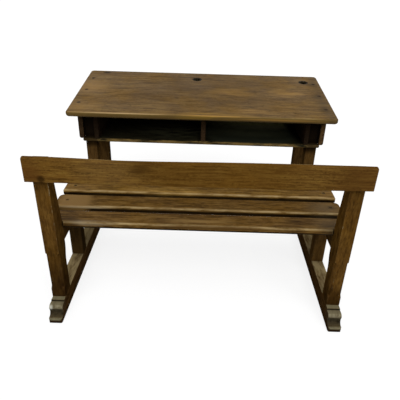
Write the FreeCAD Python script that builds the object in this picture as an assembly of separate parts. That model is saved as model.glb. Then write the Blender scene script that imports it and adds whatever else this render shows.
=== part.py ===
import FreeCAD, Part
import math
import os

# Two-seat school bench desk: a sloped top over an open book box, and a slatted seat, on floor runners.
# All lengths are millimetres. X runs along the bench, Y from the seat towards the desk, Z upwards.
# Distances along Y are counted from the rear toe of the runners until the finished pieces are centred.

Vector = FreeCAD.Vector

# Writing top
top_length = 1150.0
top_depth = 519.0
top_thickness = 22.0
top_slope_degrees = 6.4
top_front_height = 597.0
top_front_overhang = 95.0
top_rear_overhang = 115.75
top_end_overhang = 24.5
top_edge_radius = 8.0
top_corner_radius = 18.0

# Side frames: every runner, post, leg and bearer is cut from stock of one width
member_width = 48.0
arris_radius = 2.0

# Floor runners and the scrolled ends that run out past the uprights
runner_height = 65.0
runner_edge_radius = 2.5
runner_plan_radius = 9.0
scroll_length = 72.0
scroll_ledge = 19.0
scroll_step = 6.0
scroll_shoulder = 18.0
scroll_shoulder_radius = 12.0
scroll_cove_depth = 4.0
scroll_toe_length = 17.0
scroll_toe_height = 18.0
scroll_toe_radius = 4.0
scroll_heel_radius = 3.0

# Rear posts that carry the back rail
post_foot_depth = 62.0
post_seat_depth = 75.0
post_head_depth = 40.0
post_head_drop = 18.0
post_head_radius = 8.0
post_swell_drop = 8.0
post_swell_length = 82.0
post_bend_rise = 4.0
post_bend_reach = 24.0
post_chamfer = 9.0
post_chamfer_rise = 33.0
post_chamfer_length = 164.0
post_chamfer_stop = 14.0

# Back rail lapped on the rear of the posts
rail_height = 84.0
rail_thickness = 22.0
rail_bottom = 547.0
rail_end_overhang = 18.5
rail_edge_radius = 1.5
rail_corner_radius = 3.0

# Seat
seat_height = 348.0
seat_end_overhang = 17.5
slat_thickness = 22.0
rear_slat_width = 87.0
middle_slat_width = 93.0
front_slat_width = 85.0
rear_slat_gap = 29.0
front_slat_gap = 31.0
slat_upper_radius = 8.0
slat_lower_radius = 3.0
slat_corner_radius = 10.0
middle_slat_corner_radius = 20.0
slat_notch_depth = 8.0
slat_notch_clearance = 0.5
slat_notch_side_clearance = 5.0

# Seat bearers and the bench legs under them
bearer_height = 56.0
bearer_end_setback = 16.0
bearer_end_radius = 22.0
bench_leg_setback = 107.0
bench_leg_depth = 48.0

# Knee room from the seat to the book box, and the desk legs
knee_gap = 237.0
near_leg_setback = 25.0
desk_leg_depth = 50.0

# Book box
board_thickness = 20.0
board_edge_radius = 3.0
divider_thickness = 21.0
divider_offset = 8.0
end_board_rear_overhang = 10.0
end_board_lower_radius = 9.0
shelf_height = 446.0
shelf_thickness = 14.0
shelf_front_overhang = 3.0
shelf_end_overhang = 5.5
shelf_edge_radius = 5.0
shelf_corner_radius = 8.0
shelf_leg_clearance = 0.3

# Mortise and tenon joints
tenon_thickness = 18.0
tenon_shoulder = 9.0
runner_tenon_length = 38.0
post_tenon_length = 28.0
bearer_tenon_length = 32.0
mortise_clearance = 0.2

# Inkwells and the seats bored for them
inkwell_end_distance = 80.0
inkwell_middle_offset = 31.0
inkwell_back_distance = 91.0
inkwell_hole_diameter = 40.0
inkwell_rim_diameter = 46.0
inkwell_rim_thickness = 3.5
inkwell_rim_sink = 0.5
inkwell_clearance = 0.4
inkwell_depth = 38.0
inkwell_wall = 3.0
inkwell_lip_radius = 1.2
inkwell_base_radius = 6.0

# Nails that hold the top on the end boards
nail_head_diameter = 9.0
nail_head_thickness = 2.0
nail_shank_diameter = 4.0
nail_length = 58.0
nail_sink = 0.5
nail_end_margin = 14.0
nail_count = 3

# Slotted screws in the slats and the back rail
screw_head_diameter = 11.0
screw_head_thickness = 3.0
screw_shank_diameter = 5.0
screw_length = 45.0
screw_sink = 3.0
screw_slot_width = 1.6
screw_slot_depth = 1.2
rail_screw_rise = 12.0
rail_screw_inset = 12.0

# The gap round a nail or screw in its hole, and the overrun of every cut
fastener_clearance = 0.3
overrun = 5.0

# Sizes worked out from the driving dimensions
sides = {"left": -1, "right": 1}
slope = math.radians(top_slope_degrees)
box_half = top_length / 2 - top_end_overhang
frame_outer = box_half - board_thickness
frame_inner = frame_outer - member_width
box_inner = frame_inner - board_thickness
member_middle = (frame_inner + frame_outer) / 2
seat_half = frame_outer + seat_end_overhang
rail_half = frame_outer + rail_end_overhang
bearer_top = seat_height - slat_thickness
bearer_bottom = bearer_top - bearer_height
post_rear = scroll_length
post_seat_face = post_rear + post_seat_depth
post_height = rail_bottom + rail_height - post_head_drop
rear_slat_place = post_seat_face - slat_notch_depth
middle_slat_place = rear_slat_place + rear_slat_width + rear_slat_gap
front_slat_place = middle_slat_place + middle_slat_width + front_slat_gap
seat_front = front_slat_place + front_slat_width
rear_slat_middle = rear_slat_place + rear_slat_width / 2
middle_slat_middle = middle_slat_place + middle_slat_width / 2
front_slat_middle = front_slat_place + front_slat_width / 2
slat_middles = [rear_slat_middle, middle_slat_middle, front_slat_middle]
bearer_front = seat_front - bearer_end_setback
bench_leg_place = bearer_front - bench_leg_setback
box_front = seat_front + knee_gap
near_leg_place = box_front + near_leg_setback
top_front = box_front - top_front_overhang
box_rear = top_front + top_depth * math.cos(slope) - top_rear_overhang
far_leg_place = box_rear - desk_leg_depth
end_board_rear = box_rear + end_board_rear_overhang
runner_length = box_rear + scroll_length
top_middle_height = top_front_height - top_thickness / 2 * math.cos(slope)
inkwell_places = {"left": -inkwell_middle_offset, "right": top_length / 2 - inkwell_end_distance}

quarter_turn = 90
full_turn = 360
bow_share = math.sqrt(0.5)
parallel_share = 0.999
level_tolerance = 1e-6


def underside(place):
    """Height of the lower face of the writing top at a distance along Y."""
    lower_start = top_front + top_thickness / 2 * math.sin(slope)
    lower_height = top_middle_height - top_thickness / 2 * math.cos(slope)
    return lower_height + (place - lower_start) * math.tan(slope)


def tilted(shape):
    """A shape drawn flat about the top's middle plane, turned to the slope and lifted into place."""
    moved = shape.copy()
    moved.rotate(Vector(0, 0, 0), Vector(1, 0, 0), top_slope_degrees)
    moved.translate(Vector(0, top_front, top_middle_height))
    return moved


def low_x(side, inner, outer):
    """Lower X of a piece that spans from inner to outer on one side."""
    return inner if side > 0 else -outer


def block(x, y, z, length, depth, height):
    """A rectangular block with its lowest corner at x, y, z."""
    return Part.makeBox(length, depth, height, Vector(x, y, z))


def line(start, end):
    """A straight edge in the YZ plane."""
    return Part.LineSegment(Vector(0, *start), Vector(0, *end)).toShape()


def arc(start, middle, end):
    """A round edge in the YZ plane through three points."""
    return Part.Arc(Vector(0, *start), Vector(0, *middle), Vector(0, *end)).toShape()


def quarter(start, end, centre):
    """A quarter circle in the YZ plane about a centre."""
    out_y = start[0] + end[0] - 2 * centre[0]
    out_z = start[1] + end[1] - 2 * centre[1]
    middle = (centre[0] + out_y * bow_share, centre[1] + out_z * bow_share)
    return arc(start, middle, end)


def bezier(poles):
    """A smooth edge in the YZ plane drawn by its poles."""
    curve = Part.BezierCurve()
    curve.setPoles([Vector(0, *pole) for pole in poles])
    return curve.toShape()


def polygon(points):
    """Straight edges that join the points in turn and close on the first."""
    return [line(start, end) for start, end in zip(points, points[1:] + points[:1])]


def extruded(edges, x, width):
    """A closed outline in the YZ plane, given a width along X."""
    solid = Part.Face(Part.Wire(Part.__sortEdges__(edges))).extrude(Vector(width, 0, 0))
    solid.translate(Vector(x, 0, 0))
    return solid


def edges_along(shape, direction):
    """Straight edges that run along a direction."""
    straight = [edge for edge in shape.Edges if isinstance(edge.Curve, Part.Line)]
    return [edge for edge in straight if abs(edge.Curve.Direction.dot(direction)) > parallel_share]


def edges_at(edges, axis, level):
    """Those edges whose ends and middle all lie at one level of an axis."""
    found = []
    for edge in edges:
        points = [vertex.Point for vertex in edge.Vertexes] + [edge.CenterOfMass]
        if max(abs(getattr(point, axis) - level) for point in points) < level_tolerance:
            found.append(edge)
    return found


def plank(length, width, thickness, corner_radius, upper_radius, lower_radius):
    """A board lying flat, centred on X, with rounded plan corners and rounded upper and lower edges."""
    board = block(-length / 2, 0, 0, length, width, thickness)
    board = board.makeFillet(corner_radius, edges_along(board, Vector(0, 0, 1)))
    board = board.makeFillet(upper_radius, edges_at(board.Edges, "z", thickness))
    return board.makeFillet(lower_radius, edges_at(board.Edges, "z", 0))


def tenon(x_middle, y, z, depth, height):
    """A tongue of the common tenon thickness, centred on X."""
    return block(x_middle - tenon_thickness / 2, y, z, tenon_thickness, depth, height)


def mortise(x_middle, y, z, depth, height):
    """The socket for a tenon, larger all round by the mortise clearance."""
    spare = mortise_clearance
    width = tenon_thickness + 2 * spare
    return block(x_middle - width / 2, y - spare, z - spare, width, depth + 2 * spare, height + 2 * spare)


def foot_tenon(side, place, depth):
    """Middle, place, level, depth and height of the tenon under an upright."""
    level = runner_height - runner_tenon_length
    width = depth - 2 * tenon_shoulder
    return (side * member_middle, place + tenon_shoulder, level, width, runner_tenon_length)


def bench_leg_head_tenon(side):
    """Middle, place, level, depth and height of the tenon on a bench leg's head."""
    place = bench_leg_place + tenon_shoulder
    depth = bench_leg_depth - 2 * tenon_shoulder
    return (side * member_middle, place, bearer_bottom, depth, bearer_tenon_length)


def bearer_tenon(side):
    """Middle, place, level, depth and height of the tenon from a seat bearer into its post."""
    level = bearer_bottom + tenon_shoulder
    height = bearer_height - 2 * tenon_shoulder
    return (side * member_middle, post_seat_face - post_tenon_length, level, post_tenon_length, height)


def peg(head_diameter, head_thickness, shank_diameter, length, sink):
    """A flat head over a round shank, pointing down, its head sunk below the origin."""
    under_head = -sink - head_thickness
    head = Part.makeCylinder(head_diameter / 2, head_thickness, Vector(0, 0, under_head))
    shank = Part.makeCylinder(shank_diameter / 2, length - head_thickness, Vector(0, 0, -sink - length))
    return head.fuse(shank).removeSplitter()


def peg_hole(head_diameter, head_thickness, shank_diameter, length, sink):
    """The stepped hole for a peg: the head bears on the step and nothing else touches."""
    spare = fastener_clearance
    under_head = -sink - head_thickness
    mouth = Part.makeCylinder(head_diameter / 2 + spare, overrun - under_head, Vector(0, 0, under_head))
    depth = length - head_thickness + spare
    bore = Part.makeCylinder(shank_diameter / 2 + spare, depth, Vector(0, 0, under_head - depth))
    return mouth.fuse(bore).removeSplitter()


nail_measures = (nail_head_diameter, nail_head_thickness, nail_shank_diameter, nail_length, nail_sink)
screw_measures = (screw_head_diameter, screw_head_thickness, screw_shank_diameter, screw_length, screw_sink)


def slotted_screw():
    """A flat-headed wood screw with a driving slot."""
    screw = peg(*screw_measures)
    length = screw_head_diameter + 2 * overrun
    level = -screw_sink - screw_slot_depth
    slot = block(-length / 2, -screw_slot_width / 2, level, length, screw_slot_width, overrun)
    return screw.cut(slot)


def nail_row(side, one):
    """Copies of a nail, or of its hole, along one end of the top."""
    first = box_front + nail_end_margin
    last = end_board_rear - nail_end_margin
    x = side * (frame_outer + board_thickness / 2)
    row = []
    for number in range(nail_count):
        place = first + (last - first) * number / (nail_count - 1)
        copy = one.copy()
        copy.translate(Vector(x, (place - top_front) / math.cos(slope), top_thickness / 2))
        row.append(tilted(copy))
    return row


def at_slat_end(side, place, one):
    """A screw, or its hole, put at one end of the slat whose middle is at a place along Y."""
    placed = one.copy()
    placed.translate(Vector(side * member_middle, place, seat_height))
    return placed


def at_rail_end(side, one):
    """A screw, or its hole, put through the back rail into one post."""
    placed = one.copy()
    placed.rotate(Vector(0, 0, 0), Vector(1, 0, 0), quarter_turn)
    x = side * (frame_inner + rail_screw_inset)
    placed.translate(Vector(x, post_rear - rail_thickness, rail_bottom + rail_screw_rise))
    return placed


def without(shape, cutters):
    """A shape with every cutter taken out of it."""
    for cutter in cutters:
        shape = shape.cut(cutter)
    return shape


def writing_top():
    """The sloped top with stepped seats for the inkwells and holes for the nails."""
    top = plank(top_length, top_depth, top_thickness, top_corner_radius, top_edge_radius, top_edge_radius)
    top.translate(Vector(0, 0, -top_thickness / 2))
    place = top_depth - inkwell_back_distance
    seat_depth = inkwell_rim_thickness + inkwell_rim_sink
    seat_radius = inkwell_rim_diameter / 2 + inkwell_clearance
    for x in inkwell_places.values():
        hole_start = Vector(x, place, -top_thickness)
        seat_start = Vector(x, place, top_thickness / 2 - seat_depth)
        hole = Part.makeCylinder(inkwell_hole_diameter / 2, 2 * top_thickness, hole_start)
        seat = Part.makeCylinder(seat_radius, seat_depth + overrun, seat_start)
        top = without(top, [hole, seat])
    top = tilted(top)
    for side in sides.values():
        top = without(top, nail_row(side, peg_hole(*nail_measures)))
    return top


def inkwell(x):
    """A turned cup whose rim hangs in the seat bored in the top."""
    outer = inkwell_hole_diameter / 2 - inkwell_clearance
    inner = outer - inkwell_wall
    rim = inkwell_rim_diameter / 2
    lip = inkwell_lip_radius
    base = inkwell_base_radius
    hollow = base - inkwell_wall
    bottom = -inkwell_depth
    floor = bottom + inkwell_wall
    under_rim = -inkwell_rim_thickness
    edges = [
        line((0, bottom), (outer - base, bottom)),
        quarter((outer - base, bottom), (outer, bottom + base), (outer - base, bottom + base)),
        line((outer, bottom + base), (outer, under_rim)),
        line((outer, under_rim), (rim, under_rim)),
        line((rim, under_rim), (rim, -lip)),
        quarter((rim, -lip), (rim - lip, 0), (rim - lip, -lip)),
        line((rim - lip, 0), (inner + lip, 0)),
        quarter((inner + lip, 0), (inner, -lip), (inner + lip, -lip)),
        line((inner, -lip), (inner, floor + hollow)),
        quarter((inner, floor + hollow), (inner - hollow, floor), (inner - hollow, floor + hollow)),
        line((inner - hollow, floor), (0, floor)),
        line((0, floor), (0, bottom)),
    ]
    cup = Part.Face(Part.Wire(edges)).revolve(Vector(0, 0, 0), Vector(0, 0, 1), full_turn)
    cup.translate(Vector(x, top_depth - inkwell_back_distance, top_thickness / 2 - inkwell_rim_sink))
    return tilted(cup)


def sloped_board(x, width, front, rear, bottom):
    """A board or leg standing on its end or edge, cut off at the top to the slope of the writing top."""
    outline = polygon([(front, bottom), (rear, bottom), (rear, underside(rear)), (front, underside(front))])
    return extruded(outline, x, width)


def eased_front(board):
    """The same board with the upright arrises of its front edge eased."""
    upright = edges_along(board, Vector(0, 0, 1))
    return board.makeFillet(board_edge_radius, edges_at(upright, "y", box_front))


def end_board(side):
    """An outer end of the book box, rounded along its lower outer edge."""
    x = low_x(side, frame_outer, box_half)
    board = sloped_board(x, board_thickness, box_front, end_board_rear, shelf_height)
    lower = edges_at(edges_along(board, Vector(0, 1, 0)), "x", side * box_half)
    board = board.makeFillet(end_board_lower_radius, lower)
    return without(board, nail_row(side, peg_hole(*nail_measures)))


def box_side(side):
    """An inner side of the book box, against the inner faces of the desk legs."""
    x = low_x(side, box_inner, frame_inner)
    return eased_front(sloped_board(x, board_thickness, box_front, box_rear, shelf_height))


def box_divider():
    """The upright board that parts the two book compartments."""
    x = divider_offset - divider_thickness / 2
    rear = box_rear - board_thickness
    return eased_front(sloped_board(x, divider_thickness, box_front, rear, shelf_height))


def box_back():
    """The back of the book box, between its inner sides."""
    return sloped_board(-box_inner, 2 * box_inner, box_rear - board_thickness, box_rear, shelf_height)


def book_shelf():
    """The floor of the book box, cut back at its ends to pass between the desk legs."""
    front = box_front - shelf_front_overhang
    half = frame_outer + shelf_end_overhang
    depth = box_rear - front
    radius = shelf_edge_radius
    shelf = plank(2 * half, depth, shelf_thickness, shelf_corner_radius, radius, radius)
    shelf.translate(Vector(0, front, shelf_height - shelf_thickness))
    inner = frame_inner - shelf_leg_clearance
    outer = half + overrun
    start = near_leg_place - shelf_leg_clearance
    notch_depth = box_rear + overrun - start
    level = shelf_height - shelf_thickness - overrun
    for side in sides.values():
        x = low_x(side, inner, outer)
        shelf = shelf.cut(block(x, start, level, outer - inner, notch_depth, shelf_thickness + 2 * overrun))
    return shelf


def desk_leg(side, place):
    """A desk leg from its tenon in the runner up to the underside of the top."""
    x = low_x(side, frame_inner, frame_outer)
    leg = sloped_board(x, member_width, place, place + desk_leg_depth, runner_height)
    leg = leg.makeFillet(arris_radius, edges_along(leg, Vector(0, 0, 1)))
    return leg.fuse(tenon(*foot_tenon(side, place, desk_leg_depth))).removeSplitter()


def bench_leg(side):
    """A bench leg, tenoned into the runner below and into the seat bearer above."""
    x = low_x(side, frame_inner, frame_outer)
    height = bearer_bottom - runner_height
    leg = block(x, bench_leg_place, runner_height, member_width, bench_leg_depth, height)
    leg = leg.makeFillet(arris_radius, edges_along(leg, Vector(0, 0, 1)))
    foot = tenon(*foot_tenon(side, bench_leg_place, bench_leg_depth))
    return leg.fuse([foot, tenon(*bench_leg_head_tenon(side))]).removeSplitter()


def seat_bearer(side):
    """A seat bearer: tenoned to the rear post, carried by the bench leg, rounded under its front end."""
    radius = bearer_end_radius
    bend_start = (bearer_front - radius, bearer_bottom)
    bend_end = (bearer_front, bearer_bottom + radius)
    edges = [
        line((post_seat_face, bearer_bottom), bend_start),
        quarter(bend_start, bend_end, (bearer_front - radius, bearer_bottom + radius)),
        line(bend_end, (bearer_front, bearer_top)),
        line((bearer_front, bearer_top), (post_seat_face, bearer_top)),
        line((post_seat_face, bearer_top), (post_seat_face, bearer_bottom)),
    ]
    bearer = extruded(edges, low_x(side, frame_inner, frame_outer), member_width)
    bearer = bearer.fuse(tenon(*bearer_tenon(side))).removeSplitter()
    sockets = [at_slat_end(side, place, peg_hole(*screw_measures)) for place in slat_middles]
    return without(bearer, sockets + [mortise(*bench_leg_head_tenon(side))])


def chamfer_cutter(arris_x, inward):
    """A long wedge that takes a stopped chamfer off one rear arris of a post.

    Its outline lies in the upright plane that halves the corner, and curves in and out at the two stops.
    """
    reach = 2 * post_chamfer
    depth = post_chamfer * bow_share
    into = Vector(inward, 1, 0).normalize()
    across = Vector(-into.y, into.x, 0)
    low = runner_height + post_chamfer_rise
    high = low + post_chamfer_length

    def at(distance, height):
        return Vector(arris_x, post_rear, height) + into * distance - across * reach

    def stop(outer_height, inner_height):
        curve = Part.BezierCurve()
        middle = (outer_height + inner_height) / 2
        curve.setPoles([at(0, outer_height), at(0, middle), at(depth, middle), at(depth, inner_height)])
        return curve.toShape()

    corners = [at(0, high), at(-reach, high), at(-reach, low), at(0, low)]
    edges = [Part.LineSegment(start, end).toShape() for start, end in zip(corners, corners[1:])]
    flat_low = low + post_chamfer_stop
    flat_high = high - post_chamfer_stop
    edges.append(stop(low, flat_low))
    edges.append(Part.LineSegment(at(depth, flat_low), at(depth, flat_high)).toShape())
    edges.append(stop(high, flat_high))
    return Part.Face(Part.Wire(Part.__sortEdges__(edges))).extrude(across * (2 * reach))


def post_outline():
    """Outline of a rear post: straight at the back, swelling at the seat, raked to a slim head."""
    foot_face = post_rear + post_foot_depth
    head = (post_rear + post_head_depth, post_height)
    swell_top = bearer_bottom - post_swell_drop
    waist = swell_top - post_swell_length
    swell_middle = (waist + swell_top) / 2
    bend = (post_seat_face, seat_height + post_bend_rise)
    bend_start = (post_seat_face, bend[1] - post_bend_reach)
    reach_share = post_bend_reach / math.hypot(head[0] - bend[0], head[1] - bend[1])
    bend_end = (bend[0] + (head[0] - bend[0]) * reach_share, bend[1] + (head[1] - bend[1]) * reach_share)
    swell = [(foot_face, waist), (foot_face, swell_middle), (post_seat_face, swell_middle)]
    return [
        line((post_rear, runner_height), (foot_face, runner_height)),
        line((foot_face, runner_height), (foot_face, waist)),
        bezier(swell + [(post_seat_face, swell_top)]),
        line((post_seat_face, swell_top), bend_start),
        bezier([bend_start, bend, bend_end]),
        line(bend_end, head),
        line(head, (post_rear, post_height)),
        line((post_rear, post_height), (post_rear, runner_height)),
    ]


def rear_post(side):
    """A rear post with stopped chamfers, a mortise for the seat bearer and a screw hole for the rail."""
    x = low_x(side, frame_inner, frame_outer)
    post = extruded(post_outline(), x, member_width)
    crown = edges_at(edges_along(post, Vector(1, 0, 0)), "y", post_rear + post_head_depth)
    post = post.makeFillet(post_head_radius, crown)
    chamfers = [chamfer_cutter(x, 1), chamfer_cutter(x + member_width, -1)]
    post = without(post, chamfers)
    post = post.fuse(tenon(*foot_tenon(side, post_rear, post_foot_depth))).removeSplitter()
    return without(post, [mortise(*bearer_tenon(side)), at_rail_end(side, peg_hole(*screw_measures))])


def scroll(base, sign):
    """Edges of one scrolled runner end, from its upper ledge down to the floor."""

    def at(reach, height):
        return (base + sign * reach, height)

    low_ledge = runner_height - scroll_step
    shoulder = scroll_ledge + scroll_shoulder
    nose = shoulder + scroll_shoulder_radius
    nose_height = low_ledge - scroll_shoulder_radius
    cove_middle = at(nose - scroll_cove_depth, (nose_height + scroll_toe_height) / 2)
    toe_start = at(scroll_length - scroll_toe_length, scroll_toe_height)
    toe_bend = scroll_length - scroll_toe_radius
    toe_drop = scroll_toe_height - scroll_toe_radius
    heel = scroll_heel_radius
    heel_start = at(scroll_length, heel)
    return [
        line(at(scroll_ledge, runner_height), at(scroll_ledge, low_ledge)),
        line(at(scroll_ledge, low_ledge), at(shoulder, low_ledge)),
        quarter(at(shoulder, low_ledge), at(nose, nose_height), at(shoulder, nose_height)),
        arc(at(nose, nose_height), cove_middle, toe_start),
        line(toe_start, at(toe_bend, scroll_toe_height)),
        quarter(at(toe_bend, scroll_toe_height), at(scroll_length, toe_drop), at(toe_bend, toe_drop)),
        line(at(scroll_length, toe_drop), heel_start),
        quarter(heel_start, at(scroll_length - heel, 0), at(scroll_length - heel, heel)),
    ]


def runner(side):
    """A floor runner with scrolled ends and the mortises for its four uprights."""
    ledge_start = scroll_length - scroll_ledge
    edges = scroll(scroll_length, -1) + scroll(box_rear, 1)
    edges.append(line((ledge_start, runner_height), (runner_length - ledge_start, runner_height)))
    edges.append(line((scroll_heel_radius, 0), (runner_length - scroll_heel_radius, 0)))
    x = low_x(side, frame_inner, frame_outer)
    shape = extruded(edges, x, member_width)
    long_edges = edges_at(edges_along(shape, Vector(0, 1, 0)), "z", runner_height)
    shape = shape.makeFillet(runner_edge_radius, long_edges)
    plan = block(x, 0, -overrun, member_width, runner_length, runner_height + 2 * overrun)
    plan = plan.makeFillet(runner_plan_radius, edges_along(plan, Vector(0, 0, 1)))
    uprights = [(post_rear, post_foot_depth), (bench_leg_place, bench_leg_depth)]
    uprights += [(near_leg_place, desk_leg_depth), (far_leg_place, desk_leg_depth)]
    sockets = [mortise(*foot_tenon(side, place, depth)) for place, depth in uprights]
    return without(shape.common(plan), sockets)


def seat_slat(place, width, corner_radius):
    """A seat slat across both bearers, its upper edges well rounded, with a screw hole at each end."""
    length = 2 * seat_half
    slat = plank(length, width, slat_thickness, corner_radius, slat_upper_radius, slat_lower_radius)
    slat.translate(Vector(0, place, bearer_top))
    hole = peg_hole(*screw_measures)
    return without(slat, [at_slat_end(side, place + width / 2, hole) for side in sides.values()])


def rear_slat():
    """The rear slat, cut out at both ends so that it closes up between the posts."""
    slat = seat_slat(rear_slat_place, rear_slat_width, slat_corner_radius)
    inner = frame_inner - slat_notch_side_clearance
    width = seat_half + overrun - inner
    depth = overrun + slat_notch_depth + slat_notch_clearance
    height = slat_thickness + 2 * overrun
    for side in sides.values():
        x = low_x(side, inner, inner + width)
        slat = slat.cut(block(x, rear_slat_place - overrun, bearer_top - overrun, width, depth, height))
    return slat


def slat_screws():
    """The screws at both ends of all three slats."""
    ends = [(side, place) for side in sides.values() for place in slat_middles]
    return Part.makeCompound([at_slat_end(side, place, slotted_screw()) for side, place in ends])


def back_rail():
    """The back rail, a rounded plank on edge with a screw hole at each post."""
    radius = rail_edge_radius
    rail = plank(2 * rail_half, rail_height, rail_thickness, rail_corner_radius, radius, radius)
    rail.rotate(Vector(0, 0, 0), Vector(1, 0, 0), quarter_turn)
    rail.translate(Vector(0, post_rear, rail_bottom))
    return without(rail, [at_rail_end(side, peg_hole(*screw_measures)) for side in sides.values()])


def pieces():
    """Every piece of the desk by its node name."""
    made = {
        "desk_top": writing_top(),
        "book_shelf": book_shelf(),
        "box_divider": box_divider(),
        "box_back": box_back(),
        "back_rail": back_rail(),
        "seat_slat_rear": rear_slat(),
        "seat_slat_middle": seat_slat(middle_slat_place, middle_slat_width, middle_slat_corner_radius),
        "seat_slat_front": seat_slat(front_slat_place, front_slat_width, slat_corner_radius),
        "slat_screws": slat_screws(),
        "rail_screws": Part.makeCompound([at_rail_end(side, slotted_screw()) for side in sides.values()]),
    }
    for name, side in sides.items():
        made["end_board_" + name] = end_board(side)
        made["box_side_" + name] = box_side(side)
        made["desk_near_leg_" + name] = desk_leg(side, near_leg_place)
        made["desk_far_leg_" + name] = desk_leg(side, far_leg_place)
        made["runner_" + name] = runner(side)
        made["rear_post_" + name] = rear_post(side)
        made["bench_leg_" + name] = bench_leg(side)
        made["seat_bearer_" + name] = seat_bearer(side)
        made["top_nails_" + name] = Part.makeCompound(nail_row(side, peg(*nail_measures)))
    for name, x in inkwell_places.items():
        made["inkwell_" + name] = inkwell(x)
    return made


def main():
    """Centre the pieces over the middle of their floor plan and write each to its own file."""
    os.makedirs("parts", exist_ok=True)
    made = pieces()
    middle = Part.makeCompound(list(made.values())).optimalBoundingBox(False).Center
    for name, shape in made.items():
        shape.translate(Vector(0, -middle.y, 0))
        shape.exportStep("parts/" + name + ".step")


main()
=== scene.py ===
import logging
import math
from dataclasses import dataclass, replace
from enum import Enum
from typing import Any

import bpy
import numpy as np
from mathutils import Matrix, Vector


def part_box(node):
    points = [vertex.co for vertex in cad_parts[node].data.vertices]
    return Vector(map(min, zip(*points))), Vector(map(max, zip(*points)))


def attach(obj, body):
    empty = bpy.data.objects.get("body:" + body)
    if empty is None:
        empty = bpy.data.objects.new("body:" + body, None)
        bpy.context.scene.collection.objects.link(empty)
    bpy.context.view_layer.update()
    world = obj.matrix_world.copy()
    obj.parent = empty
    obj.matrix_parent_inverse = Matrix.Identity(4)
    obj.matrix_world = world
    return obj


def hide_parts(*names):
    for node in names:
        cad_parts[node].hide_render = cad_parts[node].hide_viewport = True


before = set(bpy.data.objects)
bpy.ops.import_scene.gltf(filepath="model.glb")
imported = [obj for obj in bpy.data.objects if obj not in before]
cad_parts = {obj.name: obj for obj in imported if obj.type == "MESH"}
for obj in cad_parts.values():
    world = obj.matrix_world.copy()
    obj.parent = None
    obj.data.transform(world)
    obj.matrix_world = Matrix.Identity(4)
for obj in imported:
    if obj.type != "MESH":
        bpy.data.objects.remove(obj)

log = logging.getLogger("school_desk")

Point = tuple[float, float, float]
Colour = tuple[float, float, float, float]
Tree = bpy.types.NodeTree
Socket = bpy.types.NodeSocket
Source = bpy.types.Node | Socket
Layer = tuple[Source, str]
Material = bpy.types.Material
Piece = bpy.types.Object
Places = tuple[tuple[float, float], ...]
Lamp = tuple[str, float, float, float, bool]

MM = 0.001
SIDES = ("left", "right")
# Slope of the writing top in the solids.
TOP_SLOPE = math.radians(6.4)
# Sockets of a colour Mix node, whose names occur more than once on it.
SHARE, UNDER, OVER, MIXED = 0, 6, 7, 2
# Setting of the Map Range nodes that fade softly at both ends.
SMOOTH = {"interpolation_type": "SMOOTHSTEP"}
WHITE: Colour = (1.0, 1.0, 1.0, 1.0)
# Spreads of marks that run the whole length of an axis or of two.
ALONG_X: Point = (0.0, 1.0, 1.0)
ALONG_Z: Point = (1.0, 1.0, 0.0)
LEVEL_X: Point = (1.0, 0.0, 0.0)
LEVEL_Y: Point = (0.0, 1.0, 0.0)
LEVEL_Z: Point = (0.0, 0.0, 1.0)


class Grain(Enum):
    """The way the wood fibres of a piece run, as the index of the axis."""

    LENGTHWISE = 0
    FORE_AND_AFT = 1
    UPRIGHT = 2


class Fade(Enum):
    """Ranges of a pattern, a cosine or an openness to the sky over which a layer fades in."""

    WHOLE = (0.0, 1.0)
    STREAK = (0.20, 0.58)
    SHEEN = (0.3, 0.7)
    # Cosine of a face to its rounded edge, where that edge is rubbed and takes a painted highlight, and where
    # it is chipped.
    EDGE = (0.995, 0.86)
    RUBBED = (0.32, 0.60)
    CHIPPED = (0.60, 0.68)
    # Upward part of the facing, the uneven cover of dust and painted light there, and the openness of a
    # place, which sets dirt and painted shade.
    TREAD = (0.4, 0.9)
    LYING = (0.30, 0.56)
    SHELTERED = (0.85, 0.15)
    RAGGED = (0.38, 0.58)
    SIDEWAYS = (0.3, 0.8)
    RUST = (0.40, 0.56)
    # Metres along X over which varnish covers the fastenings.
    VARNISHED = (-0.1, 0.1)
    SPOTTED = (0.42, 0.60)
    RIM = (0.5, 0.9)


def linear(hex_colour: str) -> Colour:
    """Turn an sRGB hex colour into the linear colour that shaders take.

    Args:
        hex_colour: Six hex digits.

    Returns:
        Linear red, green, blue and a full alpha.
    """
    parts = [int(hex_colour[i:i + 2], 16) / 255 for i in (0, 2, 4)]
    red, green, blue = (p / 12.92 if p <= 0.04045 else ((p + 0.055) / 1.055) ** 2.4 for p in parts)
    return red, green, blue, 1.0


def add(tree: Tree, kind: str, values: dict | None = None, links: dict | None = None,
        **settings: Any) -> bpy.types.Node:
    """Add a node, set its properties and unlinked sockets, and link the rest.

    Args:
        tree: The node tree that takes the node.
        kind: The node's type without its ShaderNode prefix.
        values: Constants by input name or number.
        links: Output sockets, or nodes for their first output, by input name or number.
        **settings: Properties of the node itself.

    Returns:
        The new node.
    """
    node = tree.nodes.new("ShaderNode" + kind)
    for name, setting in settings.items():
        setattr(node, name, setting)
    for name, value in (values or {}).items():
        node.inputs[name].default_value = value
    for name, source in (links or {}).items():
        tree.links.new(source if isinstance(source, Socket) else source.outputs[0], node.inputs[name])
    return node


def span(fade: Fade, most: float = 1.0, least: float = 0.0) -> dict[str, float]:
    """Work out the limits of a Map Range node.

    Args:
        fade: The range that comes in.
        most: What goes out at the range's second end.
        least: What goes out at its first end.

    Returns:
        Values by socket name.
    """
    start, end = fade.value
    return {"From Min": start, "From Max": end, "To Min": least, "To Max": most}


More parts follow.
